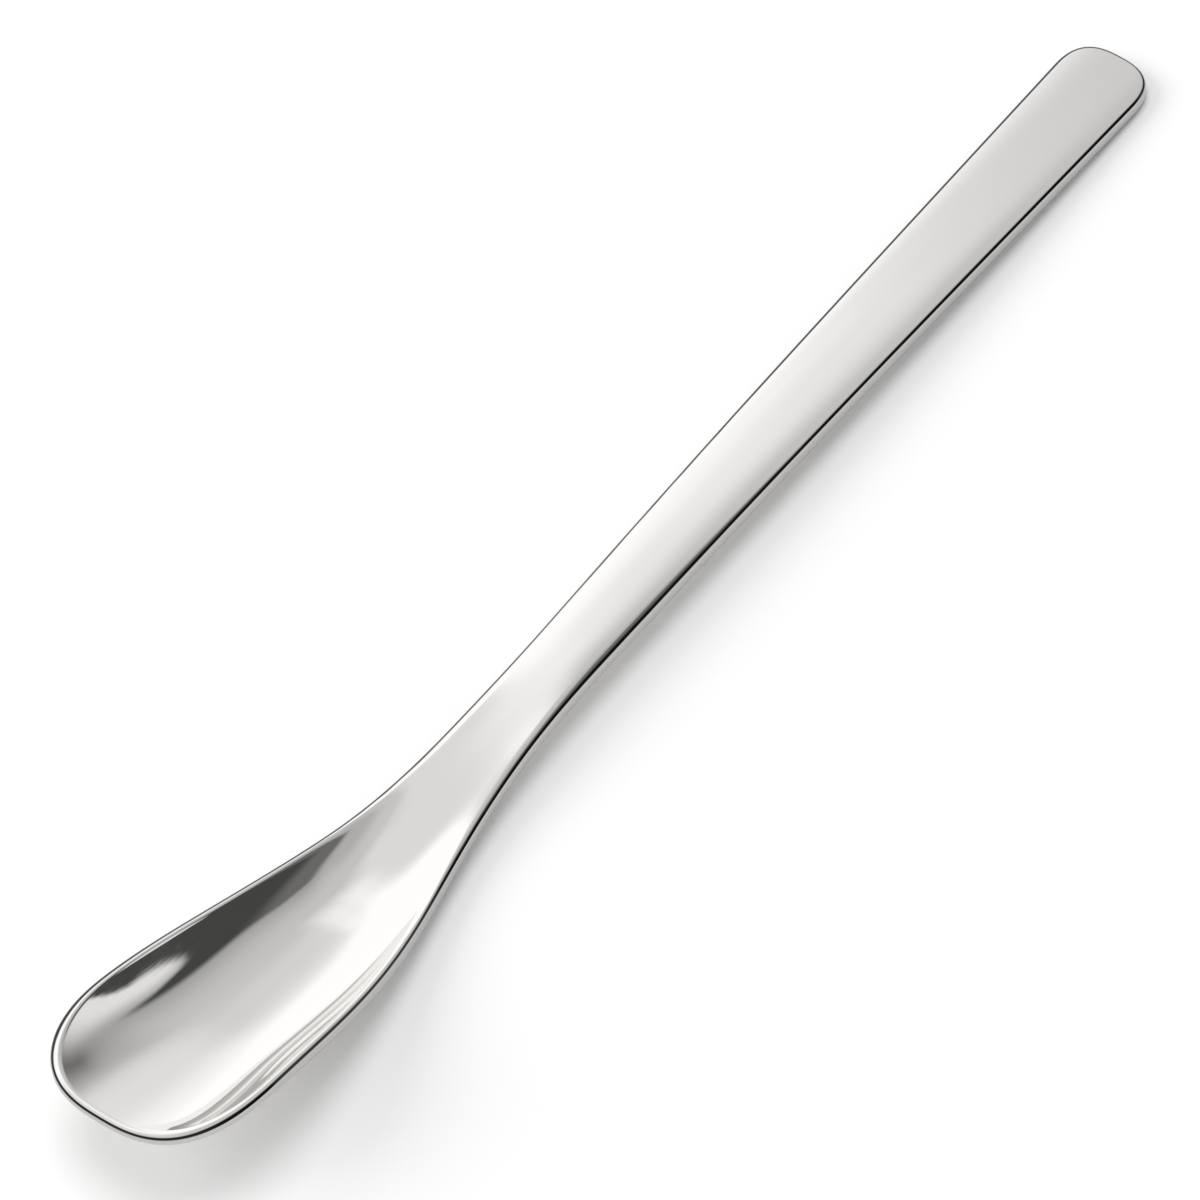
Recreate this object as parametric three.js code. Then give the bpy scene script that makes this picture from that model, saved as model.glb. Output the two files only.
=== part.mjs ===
// A dessert spoon, pressed from one blank of polished stainless steel. Millimetres, +Z up.
// It lies on a table at z = 0. X runs from the bowl's tip to the end of the handle, Y across.
// The origin is on the table, under the middle of the spoon's length.
import * as THREE from 'three';

// Plan: lengths from the bowl's tip, and full widths
const LENGTH = 180;
const BOWL_WIDTH = 22.7; // between the two side curves where they start, before the tip is rounded
const NECK_WIDTH = 7.95;
const NECK_X = 81.3; // the narrowest place, where the handle's straight taper starts
const HANDLE_WIDTH = 10.5; // at the handle's end, before its corners are rounded
const BOWL_SWEEP = 51.4; // pull of the side curve at the tip
const NECK_SWEEP = 39.9; // pull of the side curve at the neck
const TIP_ROUND = 16.1; // length over which the tip rounds off
const END_ROUND = 5.5; // length over which the handle's end rounds off
const ROUND_POWER = 2.68; // squareness of both ends in plan: 2 is an ellipse

// Side view: height of the upper edge above the table
const TIP_HEIGHT = 13.17;
const SHOULDER_X = 14;
const SHOULDER_HEIGHT = 11.65;
const BELLY_X = 32;
const BELLY_HEIGHT = 6.08;
const HEEL_X = 48;
const HEEL_HEIGHT = 3.29;
const RISE_X = 66;
const RISE_HEIGHT = 4.59;
const NECK_HEIGHT = 5.09;
const END_HEIGHT = 1.85;
const END_SLOPE = -0.045; // fall of the handle's upper face where it ends

// The bowl's hollow: height of its middle line above the table, and the band round its rim
const TIP_FALL = -0.55; // slope of the middle line where it leaves the band at the tip
const SCOOP_X = 8;
const SCOOP_HEIGHT = 10.1;
const DEEP_X = 20;
const DEEP_HEIGHT = 6;
const BELLY_FLOOR = 3.3;
const REST_X = 41; // where the bowl touches the table
const REST_FLOOR = 2; // the bowl's thickness there as well
const HEEL_FLOOR = 2.15;
const LIFT_X = 57;
const LIFT_FLOOR = 3.55;
const RISE_FLOOR = 4.57;
const SECTION_POWER = 3.2; // squareness of the hollow's section
const FADE_X = 50; // the band fades out from here to the neck
const LAND = 0.85; // width of the ground band round the bowl's rim
const LAND_SLOPE = 0.1; // the band rises towards the hollow
const LAND_REACH = 1.5; // its rise stops this far inside the outline, where the hollow is shallow
const CREASE_ROUND = 0.3; // softness of the line between band and hollow
const CROWN = 0.1; // the handle's upper face stands this much higher in its middle

// Thickness at the tip's floor and at the edge, and the edge's roundings
const TIP_FLOOR = 1.15;
const TIP_EDGE = 1.1;
const BOWL_EDGE = 2.15;
const NECK_EDGE = 2.4;
const HANDLE_EDGE = 2.05;
const UPPER_SHARE = 0.45; // of the edge's thickness, rounded towards the upper face; the rest towards the lower
const BOWL_ROUND = 0.5;
const NECK_ROUND = 1.1;
const HANDLE_ROUND = 0.55;
const LOWER_ROUND = 0.5;

// Fineness of the mesh
const TIP_STEPS = 16;
const END_STEPS = 7;
const BOWL_STEPS = 26;
const HANDLE_STEPS = 12;
const ROUND_STEPS = 3;
const FACE_STEPS = 4;
const CREASE_MARGIN = 0.5; // the mesh has a line this far inside the ground band
const TIP_START = 1.2; // the section keeps its shape from here to the tip's point

const { clamp, lerp, smoothstep } = THREE.MathUtils;

// Cubic spline through [x, value] points with a given slope at both ends.
function clampedSpline(points, firstSlope, lastSlope) {
  const last = points.length - 1;
  const gap = (i) => points[i + 1][0] - points[i][0];
  const slope = (i) => (points[i + 1][1] - points[i][1]) / gap(i);
  const carry = [0.5];
  const bend = [3 * (slope(0) - firstSlope) / gap(0)];
  for (let i = 1; i <= last; i += 1) {
    const ahead = i < last ? gap(i) : 0;
    const slopeAhead = i < last ? slope(i) : lastSlope;
    const pivot = 2 * (gap(i - 1) + ahead) - gap(i - 1) * carry[i - 1];
    carry.push(ahead / pivot);
    bend.push((6 * (slopeAhead - slope(i - 1)) - gap(i - 1) * bend[i - 1]) / pivot);
  }
  for (let i = last - 1; i >= 0; i -= 1) bend[i] -= carry[i] * bend[i + 1];
  return (x) => {
    let i = 0;
    while (i < last - 1 && x > points[i + 1][0]) i += 1;
    const a = points[i + 1][0] - x;
    const b = x - points[i][0];
    const h = gap(i);
    return (bend[i] * a ** 3 + bend[i + 1] * b ** 3) / (6 * h)
      + (points[i][1] / h - bend[i] * h / 6) * a
      + (points[i + 1][1] / h - bend[i + 1] * h / 6) * b;
  };
}

// Half-width of the side curve: a swept flare from tip to neck, then the handle's straight taper.
const taper = (HANDLE_WIDTH - NECK_WIDTH) / 2 / (LENGTH - NECK_X);
const flare = new THREE.CubicBezierCurve(
  new THREE.Vector2(0, BOWL_WIDTH / 2),
  new THREE.Vector2(BOWL_SWEEP, BOWL_WIDTH / 2),
  new THREE.Vector2(NECK_X - NECK_SWEEP, NECK_WIDTH / 2 - NECK_SWEEP * taper),
  new THREE.Vector2(NECK_X, NECK_WIDTH / 2),
);

function sideAt(x) {
  if (x >= NECK_X) return NECK_WIDTH / 2 + (x - NECK_X) * taper;
  let low = 0;
  let high = 1;
  while (high - low > 1e-9) {
    const middle = (low + high) / 2;
    if (flare.getPoint(middle).x < x) low = middle;
    else high = middle;
  }
  return flare.getPoint(low).y;
}

// How far an end has rounded off, from 0 at its point to 1; below 0 beyond the point.
const rounding = (share) => (share < 1 ? 1 - (1 - share) ** ROUND_POWER : 1);

// Half-width, raised to ROUND_POWER, of the plan's outline moved in by an inset.
function planPower(x, inset) {
  const tip = rounding((x - inset) / TIP_ROUND);
  const end = rounding((LENGTH - inset - x) / END_ROUND);
  return (sideAt(x) - inset) ** ROUND_POWER * tip * end;
}

const halfWidth = (x) => Math.max(planPower(x, 0), 0) ** (1 / ROUND_POWER);

// Height of the upper edge, thickness below it, and how much of the bowl's hollow is left, along X.
const rimHeight = clampedSpline([
  [0, TIP_HEIGHT],
  [SHOULDER_X, SHOULDER_HEIGHT],
  [BELLY_X, BELLY_HEIGHT],
  [HEEL_X, HEEL_HEIGHT],
  [RISE_X, RISE_HEIGHT],
  [NECK_X, NECK_HEIGHT],
  [LENGTH, END_HEIGHT],
], 0, END_SLOPE);

function edgeThickness(x) {
  if (x > NECK_X) return lerp(NECK_EDGE, HANDLE_EDGE, (x - NECK_X) / (LENGTH - NECK_X));
  if (x > REST_X) return lerp(BOWL_EDGE, NECK_EDGE, smoothstep(x, REST_X, NECK_X));
  return lerp(TIP_EDGE, BOWL_EDGE, smoothstep(x, 0, REST_X));
}

const hollowShare = (x) => 1 - smoothstep(x, FADE_X, NECK_X);

// Thickness below the hollow's middle line.
function floorThickness(x) {
  if (x > REST_X) return lerp(REST_FLOOR, NECK_EDGE, smoothstep(x, REST_X, NECK_X));
  return lerp(TIP_FLOOR, REST_FLOOR, smoothstep(x, TIP_ROUND, REST_X));
}

// Rounding of the upper edge in plan.
function upperRound(x) {
  if (x > NECK_X) return lerp(NECK_ROUND, HANDLE_ROUND, smoothstep(x, NECK_X, NECK_X + NECK_SWEEP));
  return lerp(BOWL_ROUND, NECK_ROUND, smoothstep(x, REST_X, RISE_X));
}

// Height of the hollow's middle line, which runs out into the handle's crown.
const landRise = LAND * LAND_SLOPE;
const nudge = 0.01;
const neckSlope = (rimHeight(NECK_X + nudge) - rimHeight(NECK_X - nudge)) / (2 * nudge);
const hollowLine = clampedSpline([
  [LAND, rimHeight(LAND) + landRise],
  [SCOOP_X, SCOOP_HEIGHT],
  [DEEP_X, DEEP_HEIGHT],
  [BELLY_X, BELLY_FLOOR],
  [REST_X, REST_FLOOR],
  [HEEL_X, HEEL_FLOOR],
  [LIFT_X, LIFT_FLOOR],
  [RISE_X, RISE_FLOOR],
  [NECK_X, NECK_HEIGHT + CROWN],
], TIP_FALL, neckSlope);

// Depth of the middle line below the rim's band; on the handle, which is crowned, it is below zero.
function middleDepth(x) {
  if (x >= NECK_X) return -CROWN;
  return rimHeight(x) + landRise * hollowShare(x) - hollowLine(x);
}

// Half-width of the hollow, raised to the power of its section; below zero beyond the tip's band.
function hollowPower(x) {
  const tip = rounding((x - LAND) / TIP_ROUND);
  const narrowed = Math.sign(tip) * Math.abs(tip) ** (SECTION_POWER / ROUND_POWER);
  return (sideAt(x) - LAND) ** SECTION_POWER * narrowed;
}

// How round the underside is below the hollow.
function hollowBelow(x) {
  const inside = clamp(x, TIP_START, NECK_X);
  const depth = middleDepth(inside) - landRise * hollowShare(inside);
  return (depth + floorThickness(inside) - edgeThickness(inside)) / planPower(inside, 0);
}

function smoothMin(a, b, radius) {
  const mix = Math.max(radius - Math.abs(a - b), 0);
  return Math.min(a, b) - mix * mix / (4 * radius);
}

// Upper surface at a point that lies an inset inside the outline.
function upperHeight(x, y, inset) {
  const share = hollowShare(x);
  const rim = rimHeight(x);
  const land = rim + LAND_SLOPE * Math.min(inset, LAND_REACH) * share;
  const inside = Math.max(x, TIP_START);
  const roundness = middleDepth(inside) / hollowPower(inside);
  const hollow = rim + landRise * share - roundness * (hollowPower(x) - Math.abs(y) ** SECTION_POWER);
  return lerp(hollow, smoothMin(land, hollow, CREASE_ROUND), share);
}

// Lower surface, ground flat where it meets the table.
function lowerHeight(x, y) {
  const across = planPower(x, 0) - Math.abs(y) ** ROUND_POWER;
  const free = rimHeight(x) - edgeThickness(x) - hollowBelow(x) * across * hollowShare(x);
  return Math.max(free, 0);
}

// Stations along half of the outline, closer together round both ends.
function stationsAlongHalf() {
  const stations = [];
  const turn = (i, steps) => Math.cos(i / steps * Math.PI / 2) ** (2 / ROUND_POWER);
  for (let i = 0; i < TIP_STEPS; i += 1) stations.push(TIP_ROUND * (1 - turn(i, TIP_STEPS)));
  for (let i = 0; i < BOWL_STEPS; i += 1) stations.push(lerp(TIP_ROUND, NECK_X, i / BOWL_STEPS));
  for (let i = 0; i < HANDLE_STEPS; i += 1) {
    stations.push(lerp(NECK_X, LENGTH - END_ROUND, i / HANDLE_STEPS));
  }
  for (let i = END_STEPS; i >= 0; i -= 1) stations.push(LENGTH - END_ROUND * (1 - turn(i, END_STEPS)));
  return stations;
}

// The whole outline as a closed loop: out along +Y from tip to handle, and back along -Y.
function outlineLoop() {
  const half = stationsAlongHalf().map((x) => new THREE.Vector2(x, halfWidth(x)));
  const back = half.slice(1, -1).reverse().map((point) => new THREE.Vector2(point.x, -point.y));
  return [...half, ...back];
}

// A rounded corner as points on a quadratic curve from one face to the other.
function corner(from, apex, to) {
  return new THREE.QuadraticBezierCurve3(from, apex, to).getPoints(ROUND_STEPS);
}

// One section, from the middle of the upper face over the edge to the middle of the lower face.
function sectionAt(loop, index) {
  const point = loop[index];
  const before = loop[(index + loop.length - 1) % loop.length];
  const after = loop[(index + 1) % loop.length];
  const along = after.clone().sub(before).normalize();
  const inward = new THREE.Vector2(along.y, -along.x);
  const middle = new THREE.Vector2(clamp(point.x, TIP_ROUND, LENGTH - END_ROUND), 0);
  const upper = (plan) => {
    const inset = plan.clone().sub(point).dot(inward);
    return new THREE.Vector3(plan.x, plan.y, upperHeight(plan.x, plan.y, inset));
  };
  const lower = (plan) => new THREE.Vector3(plan.x, plan.y, lowerHeight(plan.x, plan.y));
  const moved = (inset) => point.clone().addScaledVector(inward, inset);
  const face = (outer, surface) => Array.from({ length: FACE_STEPS }, (_, i) => (
    surface(middle.clone().lerp(outer, i / FACE_STEPS))));

  const topEdge = upper(point);
  const bottomEdge = lower(point);
  const outermost = topEdge.clone().lerp(bottomEdge, UPPER_SHARE);
  const radius = upperRound(point.x);
  const hollowEdge = moved(Math.max(LAND, radius) + CREASE_MARGIN);
  return [
    ...face(hollowEdge, upper),
    upper(hollowEdge),
    upper(moved(Math.max(LAND, radius))),
    ...corner(upper(moved(radius)), topEdge, outermost),
    ...corner(outermost, bottomEdge, lower(moved(LOWER_ROUND))),
    ...face(moved(LOWER_ROUND), lower).reverse(),
  ];
}

// Closed skin over all sections; the sections of both sides share the points on the middle line.
function spoonGeometry() {
  const loop = outlineLoop();
  const positions = [];
  const known = new Map();
  const vertex = ({ x, y, z }) => {
    const key = [x, y, z].map((value) => Math.round(value * 1e4)).join();
    if (!known.has(key)) {
      known.set(key, positions.length / 3);
      positions.push(x, y, z);
    }
    return known.get(key);
  };
  const sections = loop.map((_, index) => sectionAt(loop, index).map(vertex));
  const triangles = [];
  const triangle = (a, b, c) => {
    if (a !== b && b !== c && c !== a) triangles.push(a, b, c);
  };
  sections.forEach((section, index) => {
    const next = sections[(index + 1) % sections.length];
    for (let i = 0; i + 1 < section.length; i += 1) {
      triangle(section[i], next[i], next[i + 1]);
      triangle(section[i], next[i + 1], section[i + 1]);
    }
  });
  const geometry = new THREE.BufferGeometry();
  geometry.setAttribute('position', new THREE.Float32BufferAttribute(positions, 3));
  geometry.setIndex(triangles);
  geometry.computeVertexNormals();
  return geometry;
}

const polishedSteel = new THREE.MeshStandardMaterial({ color: 0xcfcecb, metalness: 1, roughness: 0.12 });

const spoon = new THREE.Mesh(spoonGeometry(), polishedSteel);
spoon.name = 'spoon';
spoon.position.x = -LENGTH / 2;

const part = new THREE.Group();
part.add(spoon);

export default part;
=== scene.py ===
# Looks of a dessert spoon, pressed from one blank of polished stainless steel, lying on a white table.
# Sizes are millimetres from the bowl's tip until the mesh is made. Blender's objects are in metres.
import math

import bmesh
import bpy
import numpy as np
from mathutils import Matrix, Vector


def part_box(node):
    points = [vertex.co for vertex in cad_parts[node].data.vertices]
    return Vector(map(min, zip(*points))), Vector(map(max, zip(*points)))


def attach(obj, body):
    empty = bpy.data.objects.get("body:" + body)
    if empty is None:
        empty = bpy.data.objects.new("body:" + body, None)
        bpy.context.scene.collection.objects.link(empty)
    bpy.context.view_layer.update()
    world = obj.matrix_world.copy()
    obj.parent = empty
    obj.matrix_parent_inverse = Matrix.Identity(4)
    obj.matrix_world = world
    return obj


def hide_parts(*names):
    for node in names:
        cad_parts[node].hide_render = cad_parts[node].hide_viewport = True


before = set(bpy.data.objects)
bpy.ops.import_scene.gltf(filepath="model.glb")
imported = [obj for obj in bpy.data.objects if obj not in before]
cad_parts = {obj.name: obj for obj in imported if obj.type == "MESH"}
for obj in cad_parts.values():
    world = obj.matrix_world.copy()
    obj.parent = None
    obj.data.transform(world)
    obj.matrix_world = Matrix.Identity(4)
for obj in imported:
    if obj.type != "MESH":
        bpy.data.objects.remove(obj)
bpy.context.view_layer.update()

MM = 0.001
node_low, node_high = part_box("spoon")

# Plan of the spoon: lengths from the bowl's tip, and full widths
LENGTH = (node_high.x - node_low.x) / MM
BOWL_WIDTH = 22.7
NECK_WIDTH = 7.95
NECK_X = 81.3
HANDLE_WIDTH = 10.5
BOWL_SWEEP = 51.4
NECK_SWEEP = 39.9
TIP_ROUND = 16.1
END_ROUND = 5.5
ROUND_POWER = 2.68

# Side view of the spoon: height of the upper edge above the table
TIP_HEIGHT = 13.17
SHOULDER_X = 14
SHOULDER_HEIGHT = 11.65
BELLY_X = 32
BELLY_HEIGHT = 6.08
HEEL_X = 48
HEEL_HEIGHT = 3.29
RISE_X = 66
RISE_HEIGHT = 4.59
NECK_HEIGHT = 5.09
END_HEIGHT = 1.85
END_SLOPE = -0.045

# The bowl's hollow: heights of its middle line above the table, and the band round its rim
TIP_FALL = -0.55
SCOOP_X = 8
SCOOP_HEIGHT = 10.1
DEEP_X = 20
DEEP_HEIGHT = 6
BELLY_FLOOR = 3.3
REST_X = 41
REST_FLOOR = 2
HEEL_FLOOR = 2.15
LIFT_X = 57
LIFT_FLOOR = 3.55
RISE_FLOOR = 4.57
SECTION_POWER = 3.2
FADE_X = 50
LAND = 0.85
LAND_SLOPE = 0.1
LAND_REACH = 1.5
CREASE_ROUND = 0.3

# Thickness of the floor and at the edge, and the edge's roundings
TIP_FLOOR = 1.15
TIP_EDGE = 1.1
BOWL_EDGE = 2.15
NECK_EDGE = 2.4
HANDLE_EDGE = 2.05
UPPER_SHARE = 0.45
BOWL_ROUND = 0.5
NECK_ROUND = 1.1
HANDLE_ROUND = 0.55
LOWER_ROUND = 0.5
CROWN = 0.1

# Fineness of the mesh
TIP_STEPS = 48
BOWL_STEPS = 150
HANDLE_STEPS = 80
END_STEPS = 32
HOLLOW_STEPS = 26
CREASE_STEPS = 10
LAND_STEPS = 3
ROUND_STEPS = 16
UNDER_STEPS = 18
CREASE_MARGIN = 0.5
TIP_START = 1.2
SAME_POINT = 1e-7
HALVINGS = 40

# The painted dark reflection along the upper edge, its widths and where they change, and the painted shade
# on the side and foot below it
PAINTED_LINE_NEAR = 0.35
PAINTED_LINE_FAR = 0.47
PAINTED_LINE_TIP = 0.24
PAINTED_LINE_GROWTH = 8
PAINTED_LINE_TURN = 4
PAINTED_LINE_FADE = 0.06
PAINTED_LINE_STEEP = (1.1, 1.7)
SIDE_PAINTED_SHADE = 0.4
FOOT_PAINTED_SHADE = 0.85
FOOT_PAINTED_SHADE_START = (0.3, 0.6)

# Camera: direction from the object, angle of view, and the point it is aimed at in millimetres
VIEW_ELEVATION = math.radians(52.4913)
VIEW_HEADING = math.radians(54.3415)
VIEW_ANGLE = math.radians(5)
VIEW_DISTANCE = 1411.53
VIEW_AIM = (-2.359, 1.782, 3.326)


def smoothstep(value, start, end):
    share = np.clip((value - start) / (end - start), 0, 1)
    return share * share * (3 - 2 * share)


def lerp(start, end, share):
    return start + (end - start) * share


# Cubic spline through (x, value) points with a given slope at both ends.
def clamped_spline(points, first_slope, last_slope):
    xs, values = np.array(points, float).T
    gap = np.diff(xs)
    slopes = np.concatenate([[first_slope], np.diff(values) / gap, [last_slope]])
    gaps = np.concatenate([[0], gap, [0]])
    matrix = np.diag(2 * (gaps[:-1] + gaps[1:])) + np.diag(gap, 1) + np.diag(gap, -1)
    bend = np.linalg.solve(matrix, 6 * np.diff(slopes))

    def value_at(x):
        i = np.clip(np.searchsorted(xs, x) - 1, 0, len(gap) - 1)
        before = x - xs[i]
        after = xs[i + 1] - x
        h = gap[i]
        curved = (bend[i] * after**3 + bend[i + 1] * before**3) / (6 * h)
        left = (values[i] / h - bend[i] * h / 6) * after
        right = (values[i + 1] / h - bend[i + 1] * h / 6) * before
        return curved + left + right

    return value_at


rim_height = clamped_spline(
    [
        (0, TIP_HEIGHT),
        (SHOULDER_X, SHOULDER_HEIGHT),
        (BELLY_X, BELLY_HEIGHT),
        (HEEL_X, HEEL_HEIGHT),
        (RISE_X, RISE_HEIGHT),
        (NECK_X, NECK_HEIGHT),
        (LENGTH, END_HEIGHT),
    ],
    0,
    END_SLOPE,
)

TAPER = (HANDLE_WIDTH - NECK_WIDTH) / 2 / (LENGTH - NECK_X)
FLARE_X = (0, BOWL_SWEEP, NECK_X - NECK_SWEEP, NECK_X)
FLARE_Y = (BOWL_WIDTH / 2, BOWL_WIDTH / 2, NECK_WIDTH / 2 - NECK_SWEEP * TAPER, NECK_WIDTH / 2)


def cubic_bezier(ends, share):
    rest = 1 - share
    first, second = rest**3 * ends[0], 3 * rest**2 * share * ends[1]
    third, fourth = 3 * rest * share**2 * ends[2], share**3 * ends[3]
    return first + second + third + fourth


# Half-width of the side curve: a swept flare from tip to neck, then the handle's straight taper.
def side_at(x):
    low = np.zeros_like(x)
    high = np.ones_like(x)
    for _ in range(HALVINGS):
        middle = (low + high) / 2
        short = cubic_bezier(FLARE_X, middle) < x
        low = np.where(short, middle, low)
        high = np.where(short, high, middle)
    flare = cubic_bezier(FLARE_Y, low)
    return np.where(x < NECK_X, flare, NECK_WIDTH / 2 + (x - NECK_X) * TAPER)


# How far an end has rounded off, from 0 at its point to 1; below 0 beyond the point.
def rounding(share):
    return 1 - np.maximum(1 - share, 0) ** ROUND_POWER


# Half-width, raised to ROUND_POWER, of the plan's outline moved in by an inset.
def plan_power(x, inset):
    x = np.asarray(x, float)
    ends = rounding((x - inset) / TIP_ROUND) * rounding((LENGTH - inset - x) / END_ROUND)
    return (side_at(x) - inset) ** ROUND_POWER * ends


def half_width(x):
    return np.maximum(plan_power(x, 0), 0) ** (1 / ROUND_POWER)


def edge_thickness(x):
    bowl = lerp(TIP_EDGE, BOWL_EDGE, smoothstep(x, 0, REST_X))
    neck = lerp(BOWL_EDGE, NECK_EDGE, smoothstep(x, REST_X, NECK_X))
    handle = lerp(NECK_EDGE, HANDLE_EDGE, (x - NECK_X) / (LENGTH - NECK_X))
    return np.where(x > NECK_X, handle, np.where(x > REST_X, neck, bowl))


def upper_round(x):
    towards_neck = lerp(BOWL_ROUND, NECK_ROUND, smoothstep(x, REST_X, RISE_X))
    towards_end = lerp(NECK_ROUND, HANDLE_ROUND, smoothstep(x, NECK_X, NECK_X + NECK_SWEEP))
    return np.where(x > NECK_X, towards_end, towards_neck)


def hollow_share(x):
    return 1 - smoothstep(x, FADE_X, NECK_X)


def floor_thickness(x):
    bowl = lerp(TIP_FLOOR, REST_FLOOR, smoothstep(x, TIP_ROUND, REST_X))
    neck = lerp(REST_FLOOR, NECK_EDGE, smoothstep(x, REST_X, NECK_X))
    return np.where(x > REST_X, neck, bowl)


LAND_RISE = LAND * LAND_SLOPE
NUDGE = 0.01
NECK_SLOPE = (rim_height(NECK_X + NUDGE) - rim_height(NECK_X - NUDGE)) / (2 * NUDGE)

hollow_line = clamped_spline(
    [
        (LAND, rim_height(LAND) + LAND_RISE),
        (SCOOP_X, SCOOP_HEIGHT),
        (DEEP_X, DEEP_HEIGHT),
        (BELLY_X, BELLY_FLOOR),
        (REST_X, REST_FLOOR),
        (HEEL_X, HEEL_FLOOR),
        (LIFT_X, LIFT_FLOOR),
        (RISE_X, RISE_FLOOR),
        (NECK_X, NECK_HEIGHT + CROWN),
    ],
    TIP_FALL,
    NECK_SLOPE,
)


# Depth of the middle line below the rim's land; on the handle, which is crowned, it is below zero.
def middle_depth(x):
    bowl = rim_height(x) + LAND_RISE * hollow_share(x) - hollow_line(np.minimum(x, NECK_X))
    return np.where(x < NECK_X, bowl, -CROWN)


# Half-width of the hollow, raised to the power of its section; below zero beyond the tip's land.
def hollow_power(x):
    tip = rounding((x - LAND) / TIP_ROUND)
    narrowed = np.sign(tip) * np.abs(tip) ** (SECTION_POWER / ROUND_POWER)
    return (side_at(x) - LAND) ** SECTION_POWER * narrowed


# How round the underside is below the hollow.
def hollow_below(x):
    inside = np.clip(x, TIP_START, NECK_X)
    depth = middle_depth(inside) - LAND_RISE * hollow_share(inside)
    return (depth + floor_thickness(inside) - edge_thickness(inside)) / plan_power(inside, 0)


def smooth_min(a, b, radius):
    mix = np.maximum(radius - np.abs(a - b), 0)
    return np.minimum(a, b) - mix * mix / (4 * np.maximum(radius, SAME_POINT))


# Upper surface at a plan point that lies an inset inside the outline.
def upper_height(plan, inset):
    x, y = plan[..., 0], plan[..., 1]
    share = hollow_share(x)
    rim = rim_height(x)
    land = rim + LAND_SLOPE * np.minimum(inset, LAND_REACH) * share
    inside = np.maximum(x, TIP_START)
    roundness = middle_depth(inside) / hollow_power(inside)
    across = hollow_power(x) - np.abs(y) ** SECTION_POWER
    hollow = rim + LAND_RISE * share - roundness * across
    return lerp(hollow, smooth_min(land, hollow, CREASE_ROUND), share)


# Lower surface, ground flat where it meets the table.
def lower_height(plan):
    x, y = plan[..., 0], plan[..., 1]
    across = plan_power(x, 0) - np.abs(y) ** ROUND_POWER
    free = rim_height(x) - edge_thickness(x) - hollow_below(x) * across * hollow_share(x)
    return np.maximum(free, 0)


# The outline as a closed loop of plan points: out along +Y from tip to handle, and back along -Y.
def outline_loop():
    turn = np.pi / 2 * np.arange(TIP_STEPS) / TIP_STEPS
    tip = TIP_ROUND * (1 - np.cos(turn) ** (2 / ROUND_POWER))
    bowl = np.linspace(TIP_ROUND, NECK_X, BOWL_STEPS, endpoint=False)
    handle = np.linspace(NECK_X, LENGTH - END_ROUND, HANDLE_STEPS, endpoint=False)
    turn = np.pi / 2 * np.arange(END_STEPS, -1, -1) / END_STEPS
    end = LENGTH - END_ROUND * (1 - np.cos(turn) ** (2 / ROUND_POWER))
    x = np.concatenate([tip, bowl, handle, end])
    y = half_width(x)
    back = slice(-2, 0, -1)
    return np.stack([np.concatenate([x, x[back]]), np.concatenate([y, -y[back]])], axis=-1)


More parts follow.
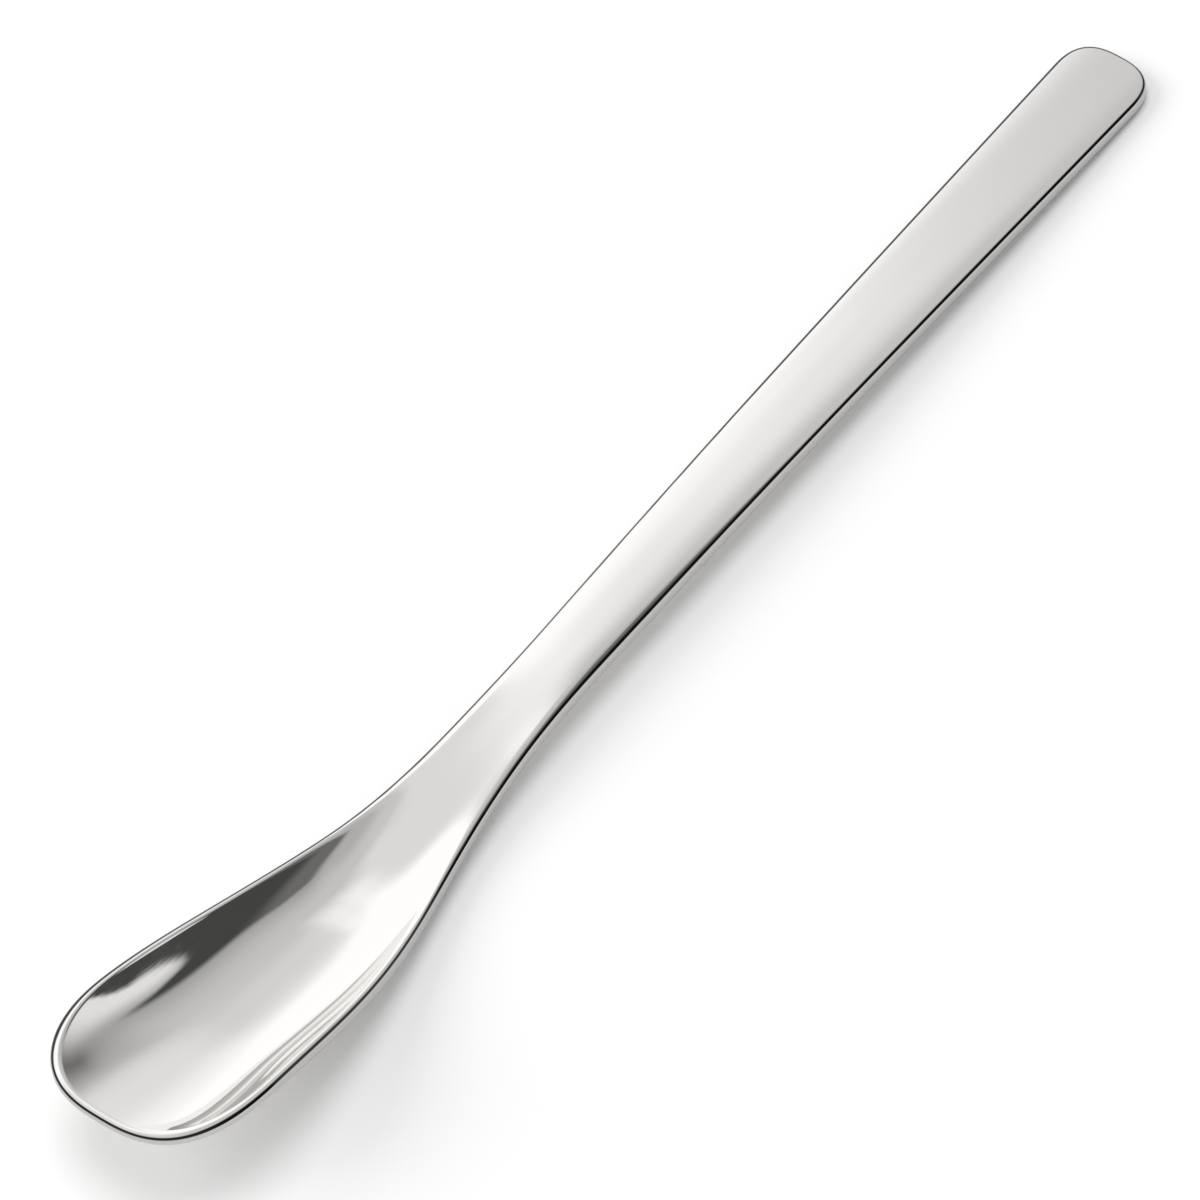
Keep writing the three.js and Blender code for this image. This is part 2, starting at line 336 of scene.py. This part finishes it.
# All sections, from the middle of the upper face over the edge to the middle of the lower face, as an
# array of points with the share of painted dark reflection and shade at each.
def sections():
    point = outline_loop()
    along = np.roll(point, -1, axis=0) - np.roll(point, 1, axis=0)
    along /= np.linalg.norm(along, axis=1)[:, None]
    inward = np.stack([along[:, 1], -along[:, 0]], axis=-1)
    middle = np.stack([np.clip(point[:, 0], TIP_ROUND, LENGTH - END_ROUND), 0 * point[:, 0]], axis=-1)
    columns = []

    def add(plan, height, painted_line=0.0):
        columns.append(np.column_stack([plan, height, np.broadcast_to(painted_line, height.shape)]))

    def moved(inset):
        return point + inward * np.reshape(inset, (-1, 1))

    def upper(plan):
        return upper_height(plan, np.sum((plan - point) * inward, axis=1))

    radius = upper_round(point[:, 0])
    land_edge = np.maximum(LAND, radius)
    hollow_edge = moved(land_edge + CREASE_MARGIN)
    for share in np.arange(HOLLOW_STEPS) / HOLLOW_STEPS:
        plan = lerp(middle, hollow_edge, share)
        add(plan, upper(plan))

    crease = np.maximum(LAND - CREASE_MARGIN / 2, radius)
    for share in np.arange(CREASE_STEPS) / CREASE_STEPS:
        plan = moved(lerp(land_edge + CREASE_MARGIN, crease, share))
        add(plan, upper(plan))
    for share in np.arange(LAND_STEPS) / LAND_STEPS:
        plan = moved(lerp(crease, radius, share))
        add(plan, upper(plan))

    top = upper(point)
    start = upper(moved(radius))
    bottom = lower_height(point)
    painted_line_width = lerp(PAINTED_LINE_NEAR, PAINTED_LINE_FAR, smoothstep(point[:, 1], -PAINTED_LINE_TURN, PAINTED_LINE_TURN))
    painted_line_width = lerp(PAINTED_LINE_TIP, painted_line_width, smoothstep(point[:, 0], 0, PAINTED_LINE_GROWTH))
    fall = (top - bottom) * UPPER_SHARE
    for share in np.arange(ROUND_STEPS) / ROUND_STEPS:
        inset = radius * (1 - share) ** 2
        height = top - fall * share**2 + (start - top) * (1 - share) ** 2
        steepness = fall * share / (radius * (1 - share))
        # Painted dark reflection on the upper rounding, turning to painted shade where the side grows
        # steep
        painted_line = 1 - smoothstep(inset, painted_line_width, painted_line_width + PAINTED_LINE_FADE)
        add(moved(inset), height, painted_line * lerp(1, SIDE_PAINTED_SHADE, smoothstep(steepness, *PAINTED_LINE_STEEP)))

    under_edge = moved(LOWER_ROUND)
    under = lower_height(under_edge)
    rise = (top - bottom) * (1 - UPPER_SHARE)
    for share in np.arange(ROUND_STEPS + 1) / ROUND_STEPS:
        inset = np.full(len(point), LOWER_ROUND * share**2)
        height = bottom + rise * (1 - share) ** 2 + (under - bottom) * share**2
        # Painted shade on the lower rounding, deepest towards the foot, where the steel would reflect the
        # floor's shadow under it
        painted_shade = lerp(SIDE_PAINTED_SHADE, FOOT_PAINTED_SHADE, smoothstep(share, *FOOT_PAINTED_SHADE_START)) * (share < 1)
        add(moved(inset), height, painted_shade)
    for share in np.arange(1, UNDER_STEPS + 1) / UNDER_STEPS:
        plan = lerp(under_edge, middle, share)
        add(plan, lower_height(plan))
    return np.stack(columns, axis=1)


# Faces of a grid of points whose last row joins its first, as corners counted along the rows.
def ring_quads(rows, columns):
    index = np.arange(rows * columns).reshape(rows, columns)
    after = np.roll(index, -1, axis=0)
    return np.stack([index[:, :-1], after[:, :-1], after[:, 1:], index[:, 1:]], axis=-1).reshape(-1, 4)


# Closed mesh over all sections; the sections of both sides share the points on the middle line.
def spoon_mesh():
    grid = sections()
    points = grid[..., :3] * MM
    points[..., 0] += node_low.x
    points[..., 2] = np.minimum(points[..., 2], node_high.z)
    mesh = bpy.data.meshes.new("spoon_steel")
    mesh.from_pydata(points.reshape(-1, 3).tolist(), [], ring_quads(*grid.shape[:2]).tolist())
    # Share of painted dark reflection and shade at each point, for the steel's colour
    painted_line = mesh.attributes.new("painted_edge_shade", "FLOAT", "POINT")
    painted_line.data.foreach_set("value", grid[..., 3].ravel())
    made = bmesh.new()
    made.from_mesh(mesh)
    bmesh.ops.remove_doubles(made, verts=made.verts, dist=SAME_POINT)
    bmesh.ops.recalc_face_normals(made, faces=made.faces)
    for face in made.faces:
        face.smooth = True
    made.to_mesh(mesh)
    made.free()
    return mesh


class Nodes:
    """Adds nodes to a node tree and links them by name."""

    def __init__(self, tree):
        self.tree = tree
        tree.nodes.clear()

    def add(self, kind, inputs=None, **settings):
        node = self.tree.nodes.new(kind)
        for name, value in settings.items():
            setattr(node, name, value)
        for name, value in (inputs or {}).items():
            if isinstance(value, bpy.types.NodeSocket):
                self.tree.links.new(value, node.inputs[name])
            else:
                node.inputs[name].default_value = value
        return node

    def math(self, operation, first, second):
        return self.add("ShaderNodeMath", {0: first, 1: second}, operation=operation).outputs[0]

    # 1 for rays from the camera and those that metal and glass send on, 0 for the rest
    def seen_rays(self):
        ray = self.add("ShaderNodeLightPath").outputs
        seen = self.math("MAXIMUM", ray["Is Camera Ray"], ray["Is Glossy Ray"])
        return self.math("MAXIMUM", seen, ray["Is Transmission Ray"])

    def remap(self, value, start, end, low, high):
        inputs = {"Value": value, "From Min": start, "From Max": end, "To Min": low, "To Max": high}
        return self.add("ShaderNodeMapRange", inputs, interpolation_type="SMOOTHSTEP").outputs[0]


def new_material(name):
    material = bpy.data.materials.new(name)
    material.use_nodes = True
    return material, Nodes(material.node_tree)


# Polished stainless steel: faint lengthwise polishing lines and soft clouds of handling, with a painted
# dark reflection along the upper edge and painted shade on the side below it.
STEEL_COLOUR = (0.838, 0.826, 0.81, 1)
# Colour of the painted dark reflection and shade along the edge
PAINTED_SHADE_COLOUR = (0.04, 0.04, 0.04, 1)
LINES_PER_METRE = (60, 2600, 2600)
LINE_NOISE = {"Scale": 1.0, "Detail": 3.0, "Roughness": 0.6}
LINE_SPAN = (0.5, 0.75)
LINE_ROUGHNESS = (0.0, 0.03)
LINE_BUMP = {"Strength": 0.02, "Distance": 0.00002}
CLOUD_NOISE = {"Scale": 90.0, "Detail": 4.0, "Roughness": 0.55}
CLOUD_SPAN = (0.35, 0.7)
CLOUD_ROUGHNESS = (0.03, 0.06)


def polished_steel():
    material, nodes = new_material("polished_steel")
    place = nodes.add("ShaderNodeTexCoord").outputs["Object"]
    lengthwise = nodes.add("ShaderNodeMapping", {"Vector": place, "Scale": LINES_PER_METRE}).outputs[0]
    lines = nodes.add("ShaderNodeTexNoise", {"Vector": lengthwise, **LINE_NOISE}).outputs[0]
    clouds = nodes.add("ShaderNodeTexNoise", {"Vector": place, **CLOUD_NOISE}).outputs[0]
    # Painted dark reflection and shade along the edge, mixed into the steel's colour
    edge = nodes.add("ShaderNodeAttribute", attribute_name="painted_edge_shade").outputs["Fac"]
    painted_shade_mix = {"Factor": edge, "A": STEEL_COLOUR, "B": PAINTED_SHADE_COLOUR}
    colour = nodes.add("ShaderNodeMix", painted_shade_mix, data_type="RGBA").outputs["Result"]
    polish = nodes.remap(clouds, *CLOUD_SPAN, *CLOUD_ROUGHNESS)
    roughness = nodes.math("ADD", polish, nodes.remap(lines, *LINE_SPAN, *LINE_ROUGHNESS))
    bump = nodes.add("ShaderNodeBump", {"Height": lines, **LINE_BUMP}).outputs[0]
    steel = nodes.add(
        "ShaderNodeBsdfPrincipled",
        {"Base Color": colour, "Metallic": 1.0, "Roughness": roughness, "Normal": bump},
    )
    nodes.add("ShaderNodeOutputMaterial", {"Surface": steel.outputs[0]})
    return material


def add_object(name, data):
    made = bpy.data.objects.new(name, data)
    bpy.context.scene.collection.objects.link(made)
    return made


def add_spoon():
    spoon = add_object("spoon_body", spoon_mesh())
    spoon.data.materials.append(polished_steel())
    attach(spoon, "root")
    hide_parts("spoon")


# The table: one wide white plane just under the spoon.
# Its glow shows to the camera, in the steel's reflections and through glass, and lights nothing else.
FLOOR_REACH = 40.0
FLOOR_DROP = 0.00002
FLOOR_WHITE = (0.95, 0.95, 0.95, 1)
FLOOR_GLOW = 0.06


def add_floor():
    corners = [(-1, -1), (1, -1), (1, 1), (-1, 1)]
    points = [(x * FLOOR_REACH, y * FLOOR_REACH, -FLOOR_DROP) for x, y in corners]
    mesh = bpy.data.meshes.new("floor")
    mesh.from_pydata(points, [], [(0, 1, 2, 3)])
    material, nodes = new_material("white_paper")
    material.cycles.emission_sampling = "NONE"
    paper = nodes.add("ShaderNodeBsdfDiffuse", {"Color": FLOOR_WHITE})
    whiteness = nodes.math("MULTIPLY", nodes.seen_rays(), FLOOR_GLOW)
    glow = nodes.add("ShaderNodeEmission", {"Strength": whiteness})
    white = nodes.add("ShaderNodeAddShader", {0: paper.outputs[0], 1: glow.outputs[0]})
    nodes.add("ShaderNodeOutputMaterial", {"Surface": white.outputs[0]})
    mesh.materials.append(material)
    add_object("floor", mesh)


# The studio that the steel shows: brightness by azimuth, from +X towards +Y, and elevation, in degrees.
# Pairs are where a change starts and ends. Left and right are as the camera sees them.
# The far wall, which darkens to the right of its turn
WALL_LIGHT = 0.64
WALL_DARK = 0.4
WALL_TURN = 16
WALL_FALL = 36
WALL_POWER = 1.3
WALL_FOOT = (20, 30)
WALL_TOP = (53, 60)

# The dark gap below the wall, and how it lightens to both sides
GAP_AZIMUTH = -3
GAP_LEVEL = 0.18
GAP_LEFT_GAIN = 0.98
GAP_LEFT_REACH = 34
GAP_LEFT_POWER = 1.5
GAP_RIGHT_LEVEL = 0.88
GAP_RIGHT_SPAN = (-1, -38)

# The dark flag: its upright edge, which leans back high up, and its foot, which curves down past a turn
FLAG_EDGE = -19.5
FLAG_EDGE_SOFT = 4
FLAG_LEAN = 0.8
FLAG_LEAN_FROM = 46
FLAG_FOOT = 27
FLAG_FOOT_SOFT = 0.8
FLAG_FOOT_TURN = -31
FLAG_FOOT_FALL = 0.35
FLAG_FOOT_BEND = 0.075
FLAG_LEVEL = 0.065
FLAG_HAZE = 0.1
FLAG_HAZE_SPAN = (36, 46)

# The softbox: its slanted edge, and its fall of light with elevation on the side that the handle shows
SOFTBOX_LEVEL = 1.19
SOFTBOX_EDGE = 26
SOFTBOX_SOFT = (-12, 13)
SOFTBOX_SLANT = 0.15
SOFTBOX_PIVOT = 24
SOFTBOX_LOWEST = 10
SOFTBOX_TURN = 0.6
SOFTBOX_TURN_FROM = 52
SOFTBOX_SIDE_START = (18, 24)
SOFTBOX_SIDE_END = (30, 38)
SOFTBOX_HEIGHTS = (40.8, 44, 47, 50)
SOFTBOX_FALL = (0.9, 1.09, 1.09, 0.98)

# The left wall, the front wall behind the camera, the ceiling and its middle overhead
LEFT_LEVEL = 0.5
LEFT_SPAN = (85, 115)
FRONT_LEVEL = 0.36
FRONT_LEFT = (115, 150)
FRONT_RIGHT = (-95, -75)
CEILING_DARK = 0.5
CEILING_PLAIN = 0.64
CEILING_PLAIN_SPAN = (-40, 16)
CEILING_LIGHT = 0.83
CEILING_LIGHT_SPAN = (20, 44)
CEILING_START = (53, 63)
OVERHEAD_LEVEL = 0.68
OVERHEAD_SPAN = (68, 82)


def wall_and_gap(azimuth, elevation):
    wall = lerp(WALL_LIGHT, WALL_DARK, np.clip((WALL_TURN - azimuth) / WALL_FALL, 0, 1) ** WALL_POWER)
    rise = np.clip((azimuth - GAP_AZIMUTH) / GAP_LEFT_REACH, 0, 1) ** GAP_LEFT_POWER
    left = GAP_LEVEL + GAP_LEFT_GAIN * rise
    right = lerp(GAP_LEVEL, GAP_RIGHT_LEVEL, smoothstep(azimuth, *GAP_RIGHT_SPAN))
    gap = np.where(azimuth > GAP_AZIMUTH, left, right)
    return lerp(gap, wall, smoothstep(elevation, *WALL_FOOT))


def flag_share(azimuth, elevation):
    edge = FLAG_EDGE - FLAG_LEAN * np.maximum(elevation - FLAG_LEAN_FROM, 0)
    past = np.maximum(FLAG_FOOT_TURN - azimuth, 0)
    foot = FLAG_FOOT - FLAG_FOOT_FALL * past - FLAG_FOOT_BEND * past**2
    beside = smoothstep(azimuth, edge + FLAG_EDGE_SOFT, edge - FLAG_EDGE_SOFT)
    above = smoothstep(elevation, foot - FLAG_FOOT_SOFT, foot + FLAG_FOOT_SOFT)
    return beside * above * (1 - smoothstep(elevation, *WALL_TOP))


def softbox_share(azimuth, elevation):
    slant = SOFTBOX_SLANT * (np.maximum(elevation, SOFTBOX_LOWEST) - SOFTBOX_PIVOT)
    edge = SOFTBOX_EDGE + slant + SOFTBOX_TURN * np.maximum(elevation - SOFTBOX_TURN_FROM, 0)
    return smoothstep(azimuth, edge + SOFTBOX_SOFT[0], edge + SOFTBOX_SOFT[1])


def softbox_fall(azimuth, elevation):
    side = smoothstep(azimuth, *SOFTBOX_SIDE_START) * (1 - smoothstep(azimuth, *SOFTBOX_SIDE_END))
    return lerp(1, np.interp(elevation, SOFTBOX_HEIGHTS, SOFTBOX_FALL), side)


def ceiling_level(azimuth):
    plain = lerp(CEILING_DARK, CEILING_PLAIN, smoothstep(azimuth, *CEILING_PLAIN_SPAN))
    return lerp(plain, CEILING_LIGHT, smoothstep(azimuth, *CEILING_LIGHT_SPAN))


def studio_level(azimuth, elevation):
    level = wall_and_gap(azimuth, elevation)
    flag = FLAG_LEVEL + FLAG_HAZE * smoothstep(elevation, *FLAG_HAZE_SPAN)
    level = lerp(level, flag, flag_share(azimuth, elevation))
    level = lerp(level, SOFTBOX_LEVEL, softbox_share(azimuth, elevation))
    level = level * softbox_fall(azimuth, elevation)
    level = lerp(level, LEFT_LEVEL, smoothstep(azimuth, *LEFT_SPAN))
    front = smoothstep(azimuth, *FRONT_LEFT) + 1 - smoothstep(azimuth, *FRONT_RIGHT)
    level = lerp(level, FRONT_LEVEL, np.clip(front, 0, 1) * (1 - smoothstep(elevation, *WALL_TOP)))
    level = lerp(level, ceiling_level(azimuth), smoothstep(elevation, *CEILING_START))
    return lerp(level, OVERHEAD_LEVEL, smoothstep(elevation, *OVERHEAD_SPAN))


# Unit vector towards an azimuth and elevation in degrees.
def direction(azimuth, elevation):
    a, e = np.radians(azimuth), np.radians(elevation)
    return np.stack([np.cos(a) * np.cos(e), np.sin(a) * np.cos(e), np.sin(e)], axis=-1)


# The studio as a dome, which the steel's reflections show and the camera doesn't.
STUDIO_RADIUS = 1.2
STUDIO_CENTRE = (-0.06, 0, 0)
STUDIO_LOWEST = -4
STUDIO_HIGHEST = 90
STUDIO_STEP = 1.0
FACE_INWARD = [0, 3, 2, 1]


def add_studio():
    around = np.arange(-180, 180, STUDIO_STEP)
    upward = np.arange(STUDIO_LOWEST, STUDIO_HIGHEST + STUDIO_STEP / 2, STUDIO_STEP)
    azimuth, elevation = np.meshgrid(around, upward, indexing="ij")
    points = STUDIO_CENTRE + direction(azimuth, elevation) * STUDIO_RADIUS
    quads = ring_quads(*azimuth.shape)[:, FACE_INWARD]
    mesh = bpy.data.meshes.new("studio")
    mesh.from_pydata(points.reshape(-1, 3).tolist(), [], quads.tolist())
    level = mesh.attributes.new("level", "FLOAT", "POINT")
    level.data.foreach_set("value", studio_level(azimuth, elevation).ravel())
    material, nodes = new_material("studio_walls")
    material.cycles.emission_sampling = "NONE"
    brightness = nodes.add("ShaderNodeAttribute", attribute_name="level").outputs["Fac"]
    glow = nodes.add("ShaderNodeEmission", {"Strength": brightness})
    nodes.add("ShaderNodeOutputMaterial", {"Surface": glow.outputs[0]})
    mesh.materials.append(material)
    studio = add_object("studio", mesh)
    studio.visible_camera = False
    studio.visible_diffuse = False
    studio.visible_shadow = False


# White for what the camera, the steel's reflections and glass see, and a dim fill for the rest.
AMBIENT = 0.45


def set_world():
    world = bpy.data.worlds.new("white")
    bpy.context.scene.world = world
    world.use_nodes = True
    nodes = Nodes(world.node_tree)
    strength = nodes.math("MAXIMUM", nodes.seen_rays(), AMBIENT)
    glow = nodes.add("ShaderNodeBackground", {"Color": (1, 1, 1, 1), "Strength": strength})
    nodes.add("ShaderNodeOutputWorld", {"Surface": glow.outputs[0]})


# A wide soft lamp, far away, by the direction to it. The steel's reflections don't show it.
def add_lamp(name, azimuth, elevation, width, strength):
    lamp = bpy.data.lights.new(name, "SUN")
    lamp.angle = math.radians(width)
    lamp.energy = strength
    made = add_object(name, lamp)
    made.rotation_mode = "QUATERNION"
    made.rotation_quaternion = Vector(direction(azimuth, elevation)).to_track_quat("Z", "Y")
    made.visible_glossy = False


def add_camera():
    flat = math.cos(VIEW_ELEVATION)
    side, ahead = math.cos(VIEW_HEADING), math.sin(VIEW_HEADING)
    back = Vector((-ahead * flat, -side * flat, math.sin(VIEW_ELEVATION)))
    right = Vector((side, -ahead, 0))
    turn = Matrix((right, back.cross(right), back)).transposed().to_4x4()
    data = bpy.data.cameras.new("camera")
    data.angle = VIEW_ANGLE
    camera = add_object("camera", data)
    place = (Vector(VIEW_AIM) + back * VIEW_DISTANCE) * MM
    camera.matrix_world = Matrix.Translation(place) @ turn
    bpy.context.scene.camera = camera


add_spoon()
add_floor()
add_studio()
set_world()
add_lamp("key", azimuth=100, elevation=84, width=34, strength=1.1)
add_lamp("side", azimuth=130, elevation=32, width=40, strength=1.3)
add_camera()
bpy.context.scene.view_settings.view_transform = "Standard"
